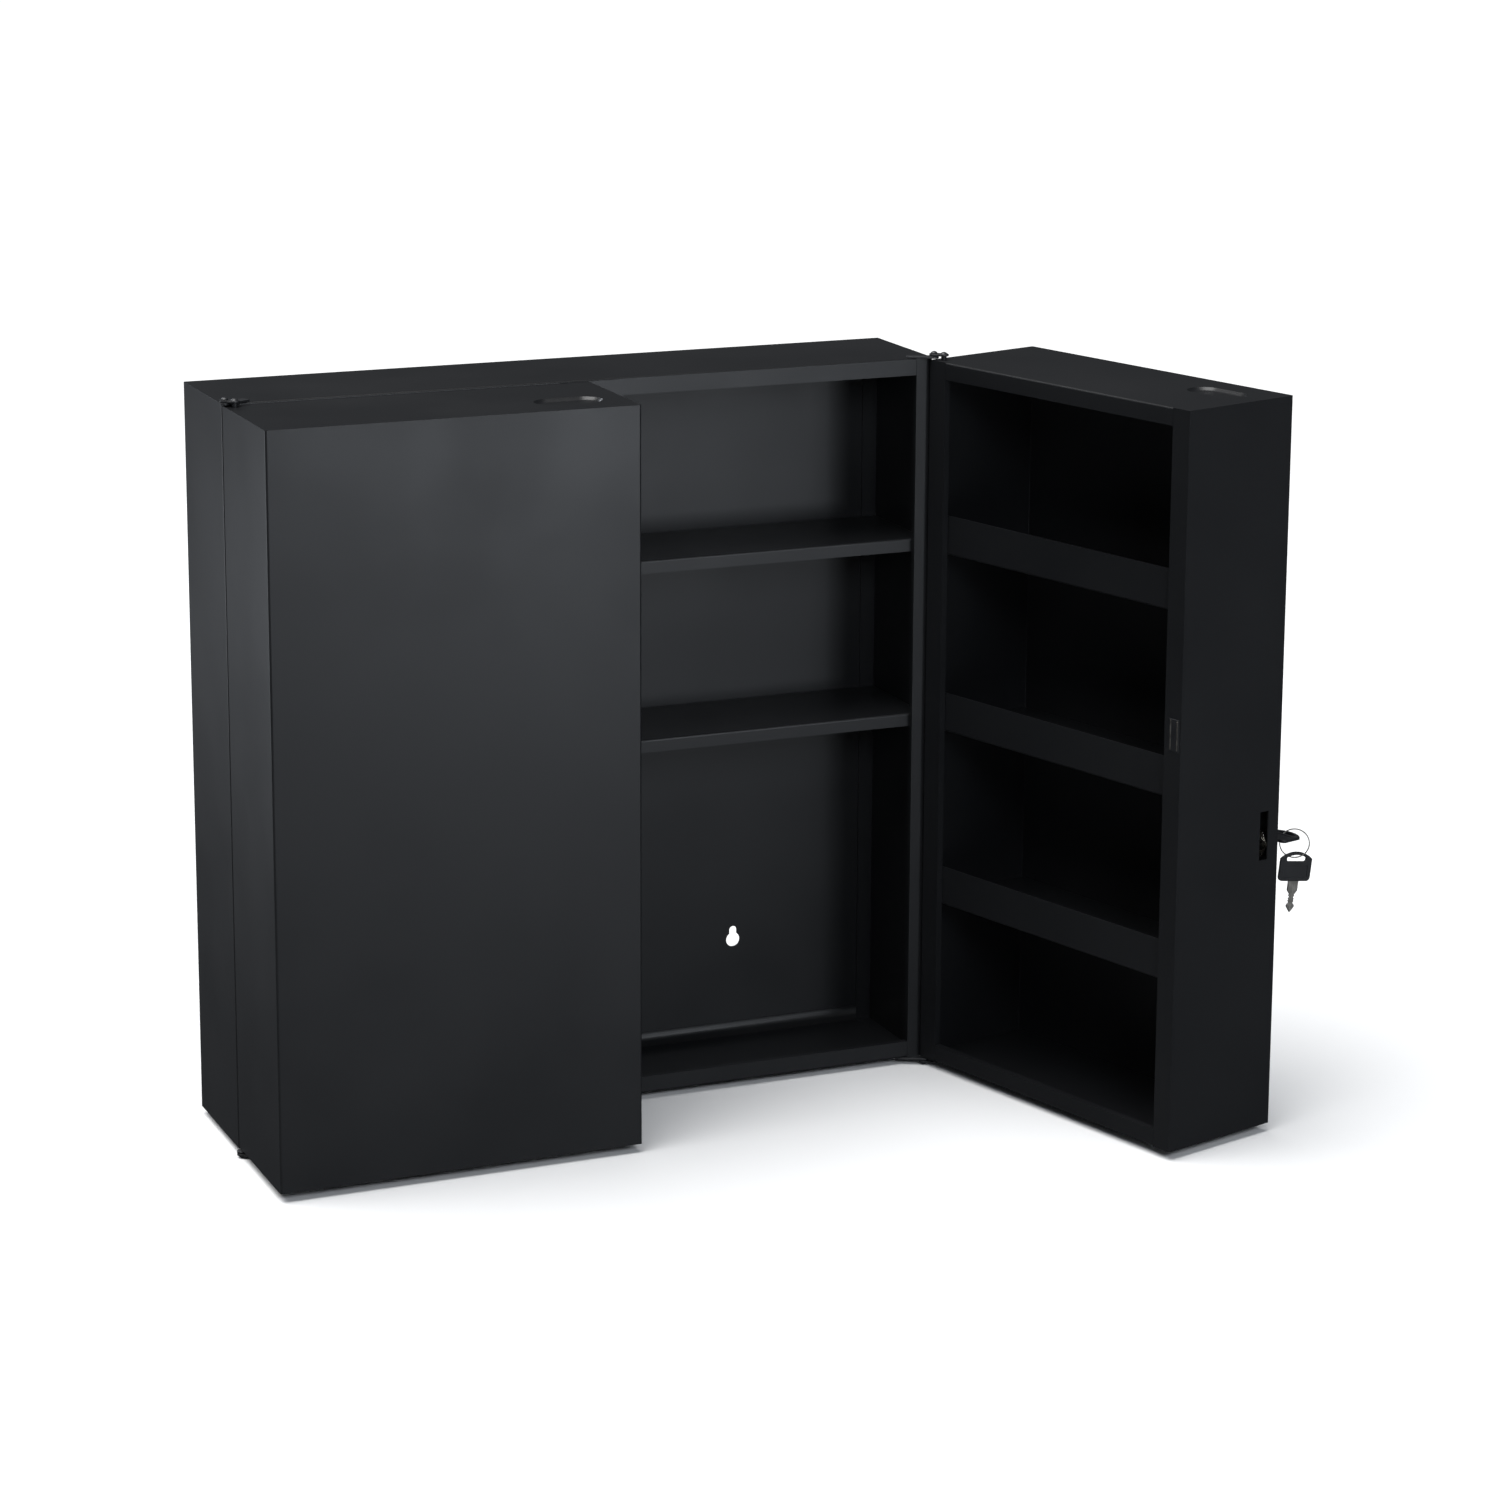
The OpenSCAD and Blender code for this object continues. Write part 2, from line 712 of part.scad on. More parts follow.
// A key's plastic head, arched at its free end, with the slot for the ring under the arch
module key_head_shape() {
    rotate([90, 0, 0]) translate([0, 0, -head_t / 2]) linear_extrude(head_t) difference() {
        intersection() {
            translate([-head_w / 2, neck_l]) round_rect(head_w, head_l + head_corner_r, head_corner_r);
            translate([0, neck_l + head_l - arch_r]) circle(arch_r);
        }
        intersection() {
            translate([-head_slot_l / 2, neck_l + head_l - head_rim - head_slot_w])
                round_rect(head_slot_l, head_slot_w + head_slot_r, head_slot_r);
            translate([0, neck_l + head_l - arch_r]) circle(arch_r - head_rim);
        }
    }
}

module in_keyway() {
    in_right_door() in_lock() translate([0, 0, shoulder_v]) children();
}

module key_blade() {
    color(NICKEL) in_keyway() key_blade_shape();
}

module key_head() {
    color(PLASTIC_BLACK) in_keyway() key_head_shape();
}

// The ring's centre: its frame keeps Z up, and X runs out from the door along the ring
module in_ring() {
    in_right_door() in_lock() translate([0, -ring_drop, ring_v]) rotate([-90, 0, 0])
        rotate([0, 0, ring_turn - 90]) translate([ring_shift, 0, 0]) children();
}

module key_ring() {
    color(NICKEL) in_ring() rotate([90, 0, 0]) rotate_extrude()
        translate([ring_r, 0]) circle(d = wire_d, $fn = 16);
}

// The spare key hangs by its head's slot from the bottom of the ring, leaning a little
module in_spare() {
    in_ring() translate([0, 0, -ring_r]) rotate([0, 0, spare_turn - ring_turn]) rotate([0, spare_lean, 0])
        translate([spare_shift, 0, wire_d / 2 + spare_lift + head_rim - neck_l - head_l]) children();
}

module spare_key_blade() {
    color(NICKEL) in_spare() key_blade_shape();
}

module spare_key_head() {
    color(PLASTIC_BLACK) in_spare() key_head_shape();
}

body_left_side();
body_right_side();
body_top();
body_bottom();
body_back();
lower_shelf();
upper_shelf();
centre_post();
left_upper_hinge_plate();
left_lower_hinge_plate();
right_upper_hinge_plate();
right_lower_hinge_plate();
left_hinge_pins();
right_hinge_pins();
left_door_skin();
left_door_top();
left_door_bottom();
left_door_shelf(0);  // left_door_shelf_1
left_door_shelf(1);  // left_door_shelf_2
left_door_shelf(2);  // left_door_shelf_3
left_door_upper_ear();
left_door_lower_ear();
left_catch();
left_catch_poles();
right_door_skin();
right_door_top();
right_door_bottom();
right_door_shelf(0);  // right_door_shelf_1
right_door_shelf(1);  // right_door_shelf_2
right_door_shelf(2);  // right_door_shelf_3
right_door_upper_ear();
right_door_lower_ear();
right_catch();
right_catch_poles();
lock_barrel();
lock_nut();
lock_plug();
lock_cam();
cam_screw();
key_blade();
key_head();
key_ring();
spare_key_blade();
spare_key_head();
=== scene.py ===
import json
import math

import bpy
from mathutils import Matrix, Vector

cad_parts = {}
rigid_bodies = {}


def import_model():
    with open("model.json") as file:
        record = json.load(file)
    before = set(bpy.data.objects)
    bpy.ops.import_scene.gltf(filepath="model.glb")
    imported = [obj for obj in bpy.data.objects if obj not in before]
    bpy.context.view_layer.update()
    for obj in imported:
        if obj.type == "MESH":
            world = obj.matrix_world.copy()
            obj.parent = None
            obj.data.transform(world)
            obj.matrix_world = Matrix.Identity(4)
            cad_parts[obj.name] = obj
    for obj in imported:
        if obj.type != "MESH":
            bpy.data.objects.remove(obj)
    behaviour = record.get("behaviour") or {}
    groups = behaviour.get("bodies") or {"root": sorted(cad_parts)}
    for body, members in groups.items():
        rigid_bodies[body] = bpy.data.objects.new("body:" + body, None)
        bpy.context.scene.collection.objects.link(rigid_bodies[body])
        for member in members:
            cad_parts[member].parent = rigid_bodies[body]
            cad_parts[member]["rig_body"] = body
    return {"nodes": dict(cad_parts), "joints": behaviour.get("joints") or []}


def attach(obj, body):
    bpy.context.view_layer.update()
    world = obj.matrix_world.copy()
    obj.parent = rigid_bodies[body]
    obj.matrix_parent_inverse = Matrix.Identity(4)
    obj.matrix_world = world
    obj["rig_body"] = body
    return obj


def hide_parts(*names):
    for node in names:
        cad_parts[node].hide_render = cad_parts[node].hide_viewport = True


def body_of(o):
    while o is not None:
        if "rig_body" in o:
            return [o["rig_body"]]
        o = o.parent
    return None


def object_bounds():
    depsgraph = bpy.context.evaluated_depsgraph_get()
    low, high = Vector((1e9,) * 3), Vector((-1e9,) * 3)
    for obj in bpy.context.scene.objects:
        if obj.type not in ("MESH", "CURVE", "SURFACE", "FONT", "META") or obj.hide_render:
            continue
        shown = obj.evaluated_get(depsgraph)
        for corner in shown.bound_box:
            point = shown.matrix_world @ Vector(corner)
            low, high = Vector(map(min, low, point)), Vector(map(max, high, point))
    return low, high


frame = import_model()
cad_box = [list(corner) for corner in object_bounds()]

# The folded sheets: the body's sides and back, the centre post, all shelves and the
# doors' skins. They are 1 mm steel, folded, spot-welded and sprayed together with a
# satin black epoxy powder.
FOLDED = [
    "body_left_side", "body_right_side", "body_back",
    "lower_shelf", "upper_shelf", "centre_post",
    "left_door_skin", "left_door_shelf_1", "left_door_shelf_2", "left_door_shelf_3",
    "right_door_skin", "right_door_shelf_1", "right_door_shelf_2", "right_door_shelf_3",
]


def linear(hex_colour):
    """An sRGB hex colour as the linear RGBA that the shaders take."""
    parts = [int(hex_colour[i:i + 2], 16) / 255 for i in (1, 3, 5)]
    return [c / 12.92 if c <= 0.04045 else ((c + 0.055) / 1.055) ** 2.4 for c in parts] + [1.0]


def add_node(tree, kind, settings=None, **links):
    """Adds a node. The settings are its properties and the links its inputs, by their
    names, or by their numbers after an underscore."""
    node = tree.nodes.new(kind)
    for name, value in (settings or {}).items():
        setattr(node, name, value)
    for name, value in links.items():
        numbered = name.startswith("_")
        socket = node.inputs[int(name[1:]) if numbered else name.replace("_", " ")]
        if isinstance(value, bpy.types.NodeSocket):
            tree.links.new(value, socket)
        else:
            socket.default_value = value
    return node


def new_finish(name):
    """An empty material, its tree and shader, and a socket with the place on the object."""
    material = bpy.data.materials.new(name)
    material.use_nodes = True
    tree = material.node_tree
    place = add_node(tree, "ShaderNodeTexCoord").outputs["Object"]
    return material, tree, tree.nodes["Principled BSDF"], place


def speckle(tree, place, apart_mm, detail):
    """A noise between 0 and 1 whose grains are that far apart."""
    return add_node(tree, "ShaderNodeTexNoise", Vector=place, Scale=1000 / apart_mm,
                    Detail=detail).outputs["Fac"]


def tone_by(tree, amount, dark, light):
    """A colour between a dark and a light tone."""
    return add_node(tree, "ShaderNodeMix", {"data_type": "RGBA"}, Factor=amount,
                    _6=linear(dark), _7=linear(light)).outputs[2]


def roughness_by(tree, amount, least, most):
    """A roughness between two values, from the range that a noise mostly stays in."""
    return add_node(tree, "ShaderNodeMapRange", Value=amount, From_Min=0.3, From_Max=0.7,
                    To_Min=least, To_Max=most).outputs["Result"]


def relief_by(tree, amount, strength, depth_mm, **under):
    """The normal of a surface with that relief, on top of the normal given as Normal."""
    return add_node(tree, "ShaderNodeBump", Height=amount, Strength=strength,
                    Distance=depth_mm / 1000, **under).outputs["Normal"]


def lead_in(tree, shader, tone, roughness, normal):
    """Leads the three to the shader."""
    tree.links.new(tone, shader.inputs["Base Color"])
    tree.links.new(roughness, shader.inputs["Roughness"])
    tree.links.new(normal, shader.inputs["Normal"])


def finish_with(thing, material):
    """Gives a thing this material and no other."""
    thing.data.materials.clear()
    thing.data.materials.append(material)


# Satin epoxy powder coat, baked on the steel: the melted grains leave an even sheen with
# an orange peel in 2 mm grains, and fine grit, 0.6 mm apart and drawn a little deeper than
# real so that it shows. The gloss drifts slowly with the film's thickness.
powder_coat, tree, shader, place = new_finish("satin_black_powder_coat")
peel = speckle(tree, place, apart_mm=2, detail=2.0)
grit = speckle(tree, place, apart_mm=0.6, detail=1.0)
film = speckle(tree, place, apart_mm=90, detail=3.0)
peeled = relief_by(tree, peel, strength=0.12, depth_mm=0.1)
lead_in(tree, shader, tone_by(tree, film, "#121315", "#151618"),
        roughness_by(tree, film, 0.36, 0.43),
        relief_by(tree, grit, strength=0.14, depth_mm=0.04, Normal=peeled))
shader.inputs["IOR"].default_value = 1.5
for name in FOLDED:
    finish_with(frame["nodes"][name], powder_coat)

# The body's and the doors' end sheets, welded over the ends of the folded sheets and
# ground flush: grinding and powder leave their outer edges round. A finger recess with
# soft edges is pressed into the top of each door.
# 1 for a sheet whose outer face looks up, and -1 for one whose outer face looks down.
END_SHEETS = {
    "body_top": 1, "body_bottom": -1, "left_door_top": 1, "left_door_bottom": -1,
    "right_door_top": 1, "right_door_bottom": -1,
}
GROUND_EDGE = 0.0006
RECESS_DEPTH, RECESS_FLOOR_EDGE = 0.0024, 0.0012
MERGE_WITHIN, FLAT_WITHIN = 0.000002, math.radians(0.5)
SAME_PLACE = 0.00001


def work_on(piece):
    """Makes this piece the only selected one."""
    bpy.ops.object.select_all(action="DESELECT")
    piece.select_set(True)
    bpy.context.view_layer.objects.active = piece


def copy_of(node_name, piece_name):
    """A new piece with a copy of a CAD node's mesh, its loose triangles merged into faces."""
    piece = bpy.data.objects.new(piece_name, frame["nodes"][node_name].data.copy())
    bpy.context.scene.collection.objects.link(piece)
    work_on(piece)
    bpy.ops.object.mode_set(mode="EDIT")
    bpy.ops.mesh.select_all(action="SELECT")
    bpy.ops.mesh.remove_doubles(threshold=MERGE_WITHIN)
    bpy.ops.mesh.dissolve_limited(angle_limit=FLAT_WITHIN)
    bpy.ops.object.mode_set(mode="OBJECT")
    return piece


def round_edges(piece, wanted, width, segments=3, sharper_than=25):
    """Rounds the edges whose two ends pass the test and whose faces turn by more degrees
    than sharper_than."""
    work_on(piece)
    bpy.context.tool_settings.mesh_select_mode = (False, True, False)
    bpy.ops.object.mode_set(mode="EDIT")
    bpy.ops.mesh.select_all(action="DESELECT")
    bpy.ops.object.mode_set(mode="OBJECT")
    mesh = piece.data
    beside = {}
    for face in mesh.polygons:
        for ends in face.edge_keys:
            beside.setdefault(ends, []).append(face.normal.copy())
    for edge in mesh.edges:
        normals = beside.get(edge.key, [])
        turn = normals[0].angle(normals[1], 0) if len(normals) == 2 else 0
        sharp = turn > math.radians(sharper_than)
        edge.select = sharp and wanted(*(mesh.vertices[i].co for i in edge.vertices))
    bpy.ops.object.mode_set(mode="EDIT")
    bpy.ops.mesh.bevel(offset=width, segments=segments, affect="EDGES", clamp_overlap=True)
    bpy.ops.object.mode_set(mode="OBJECT")


def shade(piece, degrees=35):
    """Shades the rounds smooth and keeps the wide faces between them flat."""
    work_on(piece)
    bpy.ops.object.shade_smooth_by_angle(angle=math.radians(degrees))
    flatness = piece.modifiers.new("flatness", "WEIGHTED_NORMAL")
    flatness.keep_sharp = True
    bpy.ops.object.modifier_apply(modifier="flatness")


def stand_for(piece, node_name, material):
    """Gives the piece its finish and the place of a CAD node, on the same body."""
    finish_with(piece, material)
    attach(piece, body_of(frame["nodes"][node_name])[0])
    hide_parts(node_name)


for name, outward in END_SHEETS.items():
    sheet = copy_of(name, name + "_ground")
    rim = max(v.co.z * outward for v in sheet.data.vertices)
    round_edges(sheet, lambda a, b: min(a.z * outward, b.z * outward) > rim - SAME_PLACE,
                GROUND_EDGE)
    if name.endswith("door_top"):
        floor_z = rim - RECESS_DEPTH
        on_floor = lambda a, b: max(abs(a.z - floor_z), abs(b.z - floor_z)) < SAME_PLACE
        round_edges(sheet, on_floor, RECESS_FLOOR_EDGE)
    shade(sheet)
    stand_for(sheet, name, powder_coat)

# The hinges: straps cut from 1.5 mm steel plate, welded to the body and riveted to the
# doors, and turned pins with domed heads. They are blackened in a hot bath after the
# burrs are tumbled off, which leaves small bright edges.
HINGE_PARTS = [
    "left_upper_hinge_plate", "left_lower_hinge_plate",
    "right_upper_hinge_plate", "right_lower_hinge_plate",
    "left_hinge_pins", "right_hinge_pins",
    "left_door_upper_ear", "left_door_lower_ear",
    "right_door_upper_ear", "right_door_lower_ear",
]
TUMBLED_EDGE = 0.0002


def soften(piece, width, segments, sharper_than=35):
    """Rounds all edges that turn by more degrees than sharper_than, and shades the piece."""
    work_on(piece)
    rounding = piece.modifiers.new("rounding", "BEVEL")
    rounding.width = width
    rounding.segments = segments
    rounding.limit_method = "ANGLE"
    rounding.angle_limit = math.radians(sharper_than)
    bpy.ops.object.modifier_apply(modifier="rounding")
    shade(piece)


# Black oxide from the hot bath: an iron oxide film with a dull, uneven shine, cloudy over
# 4 mm, on steel with fine tumbling marks 0.7 mm apart.
black_oxide, tree, shader, place = new_finish("hot_blackened_steel")
clouds = speckle(tree, place, apart_mm=4, detail=4.0)
marks = speckle(tree, place, apart_mm=0.7, detail=2.0)
lead_in(tree, shader, tone_by(tree, clouds, "#101113", "#242528"),
        roughness_by(tree, marks, 0.38, 0.52),
        relief_by(tree, marks, strength=0.25, depth_mm=0.03))
shader.inputs["IOR"].default_value = 1.6
for name in HINGE_PARTS:
    part = copy_of(name, name + "_tumbled")
    soften(part, TUMBLED_EDGE, segments=2)
    stand_for(part, name, black_oxide)

# The magnetic catches: ABS cases moulded with round edges and pushed into the doors' rear
# flanges. Each holds a magnet between two nickel-plated pole plates that touch the post.
CASE_EDGE, POLE_EDGE = 0.0003, 0.0001

# Black ABS from a mould with a sparked wall: even grains, 0.5 mm apart, and a soft sheen.
sparked_abs, tree, shader, place = new_finish("sparked_black_abs")
grains = speckle(tree, place, apart_mm=0.5, detail=2.0)
flow = speckle(tree, place, apart_mm=9, detail=2.0)
lead_in(tree, shader, tone_by(tree, flow, "#151618", "#1b1c1f"),
        roughness_by(tree, flow, 0.36, 0.5),
        relief_by(tree, grains, strength=0.35, depth_mm=0.05))
shader.inputs["IOR"].default_value = 1.54

# Bright nickel over steel or zinc: a warm white metal, a little clouded by handling over
# 3 mm, with fine upright scratches from polishing, drawn 0.3 mm apart so that they show.
nickel, tree, shader, place = new_finish("bright_nickel_plate")
handling = speckle(tree, place, apart_mm=3, detail=4.0)
upright = add_node(tree, "ShaderNodeMapping", Vector=place, Scale=(1.0, 1.0, 0.15))
scratches = speckle(tree, upright.outputs["Vector"], apart_mm=0.3, detail=2.0)
lead_in(tree, shader, tone_by(tree, handling, "#a39f97", "#d6d2ca"),
        roughness_by(tree, handling, 0.32, 0.48),
        relief_by(tree, scratches, strength=0.2, depth_mm=0.02))
shader.inputs["Metallic"].default_value = 1.0
for side in ("left", "right"):
    case = copy_of(side + "_catch", side + "_catch_case")
    soften(case, CASE_EDGE, segments=2)
    stand_for(case, side + "_catch", sparked_abs)
    poles = copy_of(side + "_catch_poles", side + "_pole_plates")
    soften(poles, POLE_EDGE, segments=1)
    stand_for(poles, side + "_catch_poles", nickel)

# The cam lock in the open door: a die-cast zinc barrel with a round flange outside and a
# nut inside, a turning plug, and a steel cam held by a slotted screw. All are plated,
# and the turned faces keep fine rings from the lathe.
hinge = next(j for j in frame["joints"] if j["name"] == "right_door_hinge")
opening = math.radians(-hinge["range_deg"][0])
UP = Vector((0, 0, 1))
# The right door's hinge axis, and the lock's face from there: toward the free side, out of
# the door, and up.
PIN = Vector((0.264, -0.0995, 0))
LOCK_FROM_PIN, FRONT_FROM_PIN, LOCK_Z = 0.245, 0.0975, -0.0854
# The width of each part's softened edges.
LOCK_EDGES = {
    "lock_barrel": 0.0002, "lock_nut": 0.0004, "lock_plug": 0.0001,
    "lock_cam": 0.0002, "cam_screw": 0.0003,
}
to_free_side = Vector((-math.cos(opening), -math.sin(opening), 0))
out_of_door = Vector((math.sin(opening), -math.cos(opening), 0))
lock_face = PIN + to_free_side * LOCK_FROM_PIN + out_of_door * FRONT_FROM_PIN + UP * LOCK_Z

# Turned and plated metal: faint rings centred on the lock, drawn 2.5 mm apart so that
# they show, which a wave texture has at a scale of 125.
LATHE_RING_SCALE = 125.0
turned_nickel, tree, shader, place = new_finish("turned_nickel_plate")
centred = add_node(tree, "ShaderNodeVectorMath", {"operation": "SUBTRACT"},
                   _0=place, _1=lock_face)
rings = add_node(tree, "ShaderNodeTexWave",
                 {"wave_type": "RINGS", "rings_direction": "SPHERICAL"},
                 Vector=centred.outputs["Vector"], Scale=LATHE_RING_SCALE,
                 Distortion=0.6, Detail=1.0)
handling = speckle(tree, place, apart_mm=3, detail=3.0)
lead_in(tree, shader, tone_by(tree, handling, "#a8a49c", "#cfcbc3"),
        roughness_by(tree, handling, 0.2, 0.34),
        relief_by(tree, rings.outputs["Fac"], strength=0.15, depth_mm=0.02))
shader.inputs["Metallic"].default_value = 1.0
for name, edge in LOCK_EDGES.items():
    part = copy_of(name, name + "_plated")
    soften(part, edge, segments=2)
    stand_for(part, name, turned_nickel)

# The keys' heads: both come from one mould, in black ABS, with an arched end, a slot for
# the ring under the arch, a sunk panel on each face, and mould-rounded edges. Both are
# drawn in a key's own frame: X across the head, Y through it, Z from the shoulder up.
HEAD_W, HEAD_L, HEAD_T = 0.026, 0.0215, 0.0022
NECK_L, ARCH_R, RIM = 0.008, 0.0194, 0.0022
SLOT_L, SLOT_W = 0.016, 0.0048
PANEL_W, PANEL_L, PANEL_LOW, PANEL_DEPTH = 0.0195, 0.0095, 0.0104, 0.0003
HEAD_EDGE, PANEL_EDGE, PANEL_CORNER = 0.0004, 0.0001, 0.0012
HEAD_FOOT_ROUND, HEAD_ARCH_ROUND = 0.003, 0.0015
SLOT_FOOT_ROUND, SLOT_ARCH_ROUND = 0.0015, 0.001
DISC_SIDES, CUT_MERGE_WITHIN = 160, 0.000001
# How near the foot an edge still belongs to it, and how far above its round the arch's are.
AT_FOOT, CLEAR_OF_FOOT = 0.0001, 0.0005


def arched_plate(width, low, top, radius, thickness, foot_round, arch_round):
    """A plate with a straight foot at Z=low and an arched top, cut from a disc."""
    bpy.ops.mesh.primitive_cylinder_add(
        vertices=DISC_SIDES, radius=radius, depth=thickness,
        location=(0, 0, top - radius), rotation=(math.pi / 2, 0, 0))
    plate = bpy.context.object
    bpy.ops.object.transform_apply(location=True, rotation=True, scale=True)
    bpy.ops.object.mode_set(mode="EDIT")
    for at, away in (((0, 0, low), (0, 0, -1)),
                     ((width / 2, 0, 0), (1, 0, 0)),
                     ((-width / 2, 0, 0), (-1, 0, 0))):
        bpy.ops.mesh.select_all(action="SELECT")
        bpy.ops.mesh.bisect(plane_co=at, plane_no=away, use_fill=True, clear_outer=True)
    bpy.ops.mesh.select_all(action="SELECT")
    bpy.ops.mesh.remove_doubles(threshold=CUT_MERGE_WITHIN)
    bpy.ops.mesh.normals_make_consistent(inside=False)
    bpy.ops.object.mode_set(mode="OBJECT")

    def is_corner(a, b):
        """Whether an edge goes straight through the plate at one of its two sides."""
        return (abs(abs(a.x) - width / 2) < SAME_PLACE
                and abs(a.x - b.x) < SAME_PLACE and abs(a.z - b.z) < SAME_PLACE)

    round_edges(plate, lambda a, b: is_corner(a, b) and a.z < low + AT_FOOT,
                foot_round, segments=6)
    above_foot = low + foot_round + CLEAR_OF_FOOT
    round_edges(plate, lambda a, b: is_corner(a, b) and a.z > above_foot,
                arch_round, segments=4)
    return plate


def cut_out(piece, cutter):
    """Takes the cutter's space out of the piece and deletes the cutter."""
    work_on(piece)
    cut = piece.modifiers.new("cut", "BOOLEAN")
    cut.solver = "EXACT"
    cut.object = cutter
    bpy.ops.object.modifier_apply(modifier="cut")
    bpy.data.objects.remove(cutter)


head = arched_plate(HEAD_W, NECK_L, NECK_L + HEAD_L, ARCH_R, HEAD_T,
                    HEAD_FOOT_ROUND, HEAD_ARCH_ROUND)
slot_top = NECK_L + HEAD_L - RIM
cut_out(head, arched_plate(SLOT_L, slot_top - SLOT_W, slot_top, ARCH_R - RIM, 3 * HEAD_T,
                           SLOT_FOOT_ROUND, SLOT_ARCH_ROUND))
soften(head, HEAD_EDGE, segments=3)
for face in (-1, 1):
    bpy.ops.mesh.primitive_cube_add(
        size=1, location=(0, face * HEAD_T / 2, PANEL_LOW + PANEL_L / 2),
        scale=(PANEL_W, 2 * PANEL_DEPTH, PANEL_L))
    panel = bpy.context.object
    bpy.ops.object.transform_apply(location=True, rotation=True, scale=True)
    round_edges(panel, lambda a, b: abs(a.x - b.x) + abs(a.z - b.z) < SAME_PLACE,
                PANEL_CORNER, segments=4)
    cut_out(head, panel)
soften(head, PANEL_EDGE, segments=1, sharper_than=50)

# The inserted key stands out of the lock with its flat level. The ring hangs in its slot,
# turned partly outward, and the spare key hangs leaning from the bottom of the ring.
SHOULDER_OUT = 0.0025
RING_R, RING_DROP, RING_SHIFT, RING_TURN = 0.0105, 0.007, 0.0032, math.radians(45)
WIRE_D = 0.0012
SPARE_TURN, SPARE_LEAN = math.radians(15), math.radians(6.7)
SPARE_SHIFT, SPARE_LIFT = 0.002, 0.0013


def own_frame(origin, x, y, z):
    """The matrix from a piece's own frame to its place on the object."""
    return Matrix(((x.x, y.x, z.x, origin.x),
                   (x.y, y.y, z.y, origin.y),
                   (x.z, y.z, z.z, origin.z),
                   (0, 0, 0, 1)))


def level_direction(turn):
    """The level direction that far round from out of the door to its free side."""
    return to_free_side * math.sin(turn) + out_of_door * math.cos(turn)


ring_x = level_direction(RING_TURN)
ring_centre = (lock_face + out_of_door * (SHOULDER_OUT + NECK_L + HEAD_L - RIM / 2)
               + ring_x * RING_SHIFT - UP * RING_DROP)
lean_x = level_direction(SPARE_TURN)
spare_z = UP * math.cos(SPARE_LEAN) + lean_x * math.sin(SPARE_LEAN)
spare_x = lean_x * math.cos(SPARE_LEAN) - UP * math.sin(SPARE_LEAN)
spare_shoulder = (ring_centre - UP * RING_R + spare_x * SPARE_SHIFT
                  + spare_z * (WIRE_D / 2 + SPARE_LIFT + RIM - NECK_L - HEAD_L))
KEY_PLACES = {
    "key": own_frame(lock_face + out_of_door * SHOULDER_OUT, to_free_side, -UP, out_of_door),
    "spare_key": own_frame(spare_shoulder, spare_x, spare_z.cross(spare_x), spare_z),
}
for name, where in KEY_PLACES.items():
    moulding = bpy.data.objects.new(name + "_head_moulding", head.data.copy())
    moulding.data.transform(where)
    bpy.context.scene.collection.objects.link(moulding)
    stand_for(moulding, name + "_head", sparked_abs)
bpy.data.objects.remove(head)

# The keys' blades: blanks stamped from 1.6 mm brass, with cuts milled in both edges and a
# groove along each face, then nickel-plated. Their necks are moulded into the heads.
BLADE_T = 0.0016
GROOVE_R, GROOVE_DEPTH, GROOVE_LOW, GROOVE_HIGH = 0.0006, 0.0003, -0.0125, 0.0055
BLADE_EDGE = 0.0001
for name, where in KEY_PLACES.items():
    blade = copy_of(name + "_blade", name + "_blade_milled")
    for face in (-1, 1):
        bpy.ops.mesh.primitive_cylinder_add(
            vertices=16, radius=GROOVE_R, depth=GROOVE_HIGH - GROOVE_LOW,
            location=(0, face * (BLADE_T / 2 + GROOVE_R - GROOVE_DEPTH),
                      (GROOVE_HIGH + GROOVE_LOW) / 2))
        mill = bpy.context.object
        bpy.ops.object.transform_apply(location=True, rotation=True, scale=True)
        mill.data.transform(where)
        cut_out(blade, mill)
    soften(blade, BLADE_EDGE, segments=2)
    stand_for(blade, name + "_blade", nickel)

# The split ring: a flat spring-steel wire wound in two close turns, hardened and plated.
# It passes through the slots of both keys.
TURNS, TURN_STEPS, TURN_RISE = 2, 96, 0.00042
STRIP_W, STRIP_T, STRIP_EDGE = 0.0008, 0.0004, 0.00012
bpy.ops.mesh.primitive_plane_add(
    size=1, location=(RING_R, 0, -TURN_RISE * TURNS / 2), rotation=(math.pi / 2, 0, 0))
ring = bpy.context.object
ring.name = "split_ring"
ring.scale = (STRIP_W, STRIP_T, 1)
bpy.ops.object.transform_apply(location=True, rotation=True, scale=True)
bpy.ops.object.mode_set(mode="EDIT")
bpy.ops.mesh.select_all(action="SELECT")
bpy.ops.mesh.bevel(offset=STRIP_EDGE, segments=2, affect="VERTICES")
bpy.ops.mesh.delete(type="ONLY_FACE")
bpy.ops.object.mode_set(mode="OBJECT")
winding = ring.modifiers.new("winding", "SCREW")
winding.axis = "Z"
winding.angle = TURNS * 2 * math.pi
winding.steps = winding.render_steps = TURNS * TURN_STEPS
winding.screw_offset = TURNS * TURN_RISE
bpy.ops.object.modifier_apply(modifier="winding")
bpy.ops.object.mode_set(mode="EDIT")
bpy.ops.mesh.select_all(action="SELECT")
bpy.ops.mesh.fill_holes(sides=0)
bpy.ops.mesh.normals_make_consistent(inside=False)
bpy.ops.object.mode_set(mode="OBJECT")
ring.data.transform(own_frame(ring_centre, ring_x, UP, ring_x.cross(UP)))
shade(ring, degrees=40)
stand_for(ring, "key_ring", nickel)

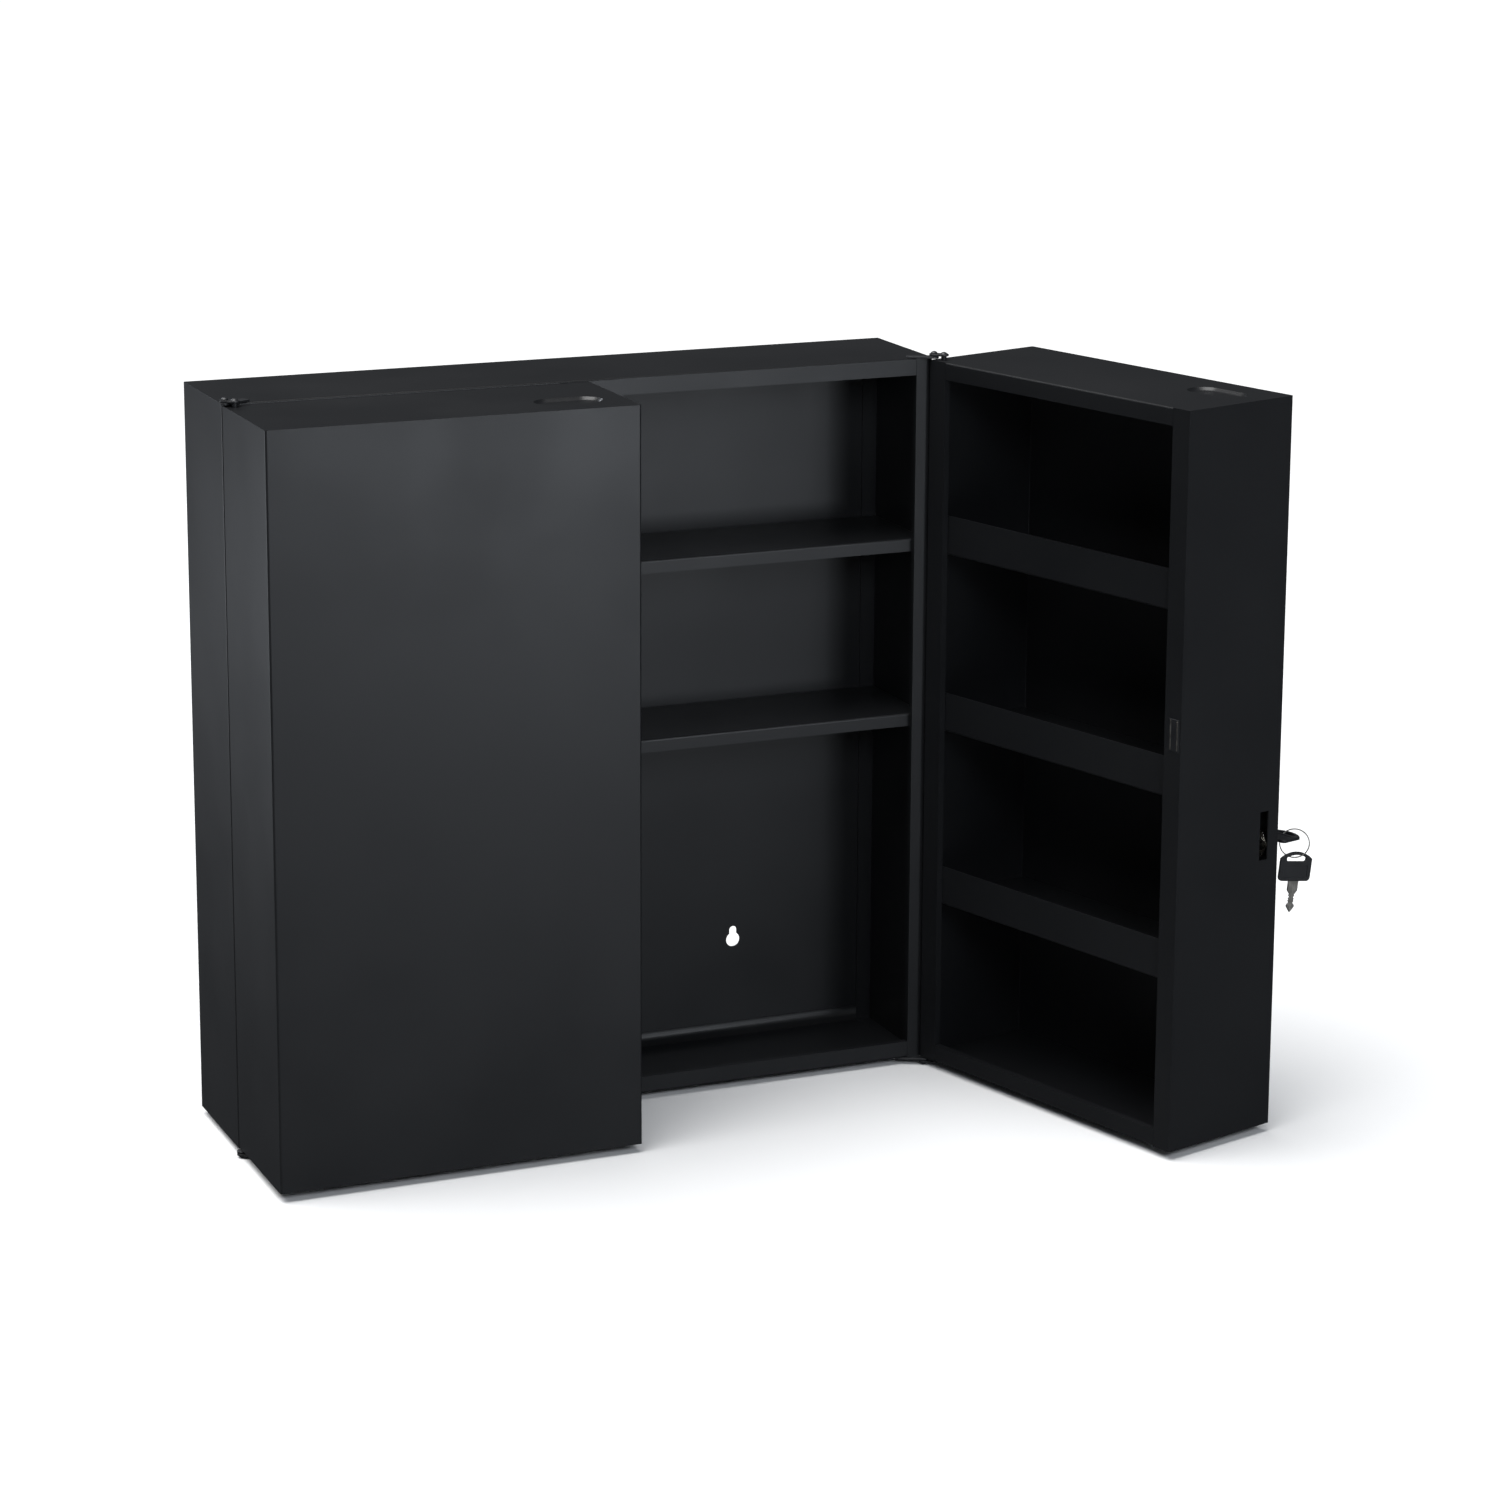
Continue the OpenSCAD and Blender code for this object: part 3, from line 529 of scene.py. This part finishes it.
# The studio: a pale seamless floor in a white room, with a wide high light, three soft
# boxes in front, a low one on the left and one behind. The boxes are a little blue.
FLOOR_RADIUS = 30.0
COOL_WHITE = (0.88, 0.93, 1.0)
ROOM_STRENGTH = 0.055
bpy.ops.mesh.primitive_circle_add(vertices=96, radius=FLOOR_RADIUS, fill_type="NGON",
                                  location=(0, 0, cad_box[0][2]))
floor = bpy.context.object
floor.name = "studio_floor"
pale, _, shader, _ = new_finish("pale_studio_floor")
shader.inputs["Base Color"].default_value = linear("#f6f6f6")
shader.inputs["Roughness"].default_value = 0.9
finish_with(floor, pale)
floor.visible_glossy = False

world = bpy.data.worlds.new("studio_room")
bpy.context.scene.world = world
world.use_nodes = True
tree = world.node_tree
room = tree.nodes["Background"]
room.inputs["Color"].default_value = (*COOL_WHITE, 1.0)
room.inputs["Strength"].default_value = ROOM_STRENGTH
sky = add_node(tree, "ShaderNodeBackground", Color=linear("#fdfdfd"), Strength=1.0)
by_camera = add_node(tree, "ShaderNodeLightPath").outputs["Is Camera Ray"]
either = add_node(tree, "ShaderNodeMixShader", Fac=by_camera,
                  _1=room.outputs[0], _2=sky.outputs[0])
tree.links.new(either.outputs[0], tree.nodes["World Output"].inputs["Surface"])


def studio_light(name, kind, place_m, aim_m, power):
    """A light at a place, turned to face its aim and unseen by the camera."""
    data = bpy.data.lights.new(name, kind)
    data.energy = power
    data.color = COOL_WHITE
    lamp = bpy.data.objects.new(name, data)
    lamp.location = place_m
    lamp.rotation_euler = (Vector(aim_m) - Vector(place_m)).to_track_quat("-Z", "Y").to_euler()
    lamp.visible_camera = False
    bpy.context.scene.collection.objects.link(lamp)
    return data


MIDDLE = (0, -0.1, 0)
# Each soft box's place, its power in watts, and its width and height.
SOFT_BOXES = {
    "high_front_box": ((-0.207, -2.466, 1.057), 18.0, (0.6, 0.6)),
    "high_right_box": ((0.966, -2.27, 1.057), 7.4, (0.6, 0.6)),
    "low_front_box": ((0.80, -2.567, -0.09), 8.0, (0.6, 0.41)),
    "low_left_box": ((-1.214, 0.918, -0.12), 2.8, (0.5, 0.34)),
    "rear_box": ((-0.73, 2.62, 1.03), 14.0, (0.9, 0.9)),
}
for name, (place_m, watts, size_m) in SOFT_BOXES.items():
    box = studio_light(name, "AREA", place_m, MIDDLE, watts)
    box.shape = "RECTANGLE"
    box.size, box.size_y = size_m
high_light = studio_light("high_light", "SUN", (-1.7, 0.1, 5.0), (0, 0, 0), 3.9)
high_light.color = (1.0, 1.0, 1.0)
high_light.angle = math.radians(55)

# The camera: where the photograph was taken from, found from the cabinet's own edges.
# A long lens in millimetres on a sensor 36 mm wide, a little above the cabinet and to its
# left, shifted by a tenth of the picture.
CAMERA_PLACE = Vector((-1.0182, -2.7765, 0.7293))
LOOK_ALONG = Vector((0.38184, 0.8975, -0.22065))
TILT = math.radians(0.291)
LENS_MM, SENSOR_MM, SHIFT = 99.86, 36, -0.1
camera_data = bpy.data.cameras.new("photo_camera")
camera_data.lens = LENS_MM
camera_data.sensor_width = SENSOR_MM
camera_data.shift_y = SHIFT
camera = bpy.data.objects.new("photo_camera", camera_data)
bpy.context.scene.collection.objects.link(camera)
across = LOOK_ALONG.cross(UP).normalized()
upward = across.cross(LOOK_ALONG)
camera.matrix_world = own_frame(
    CAMERA_PLACE, across * math.cos(TILT) + upward * math.sin(TILT),
    upward * math.cos(TILT) - across * math.sin(TILT), -LOOK_ALONG)
bpy.context.scene.camera = camera
bpy.context.scene.view_settings.view_transform = "Standard"
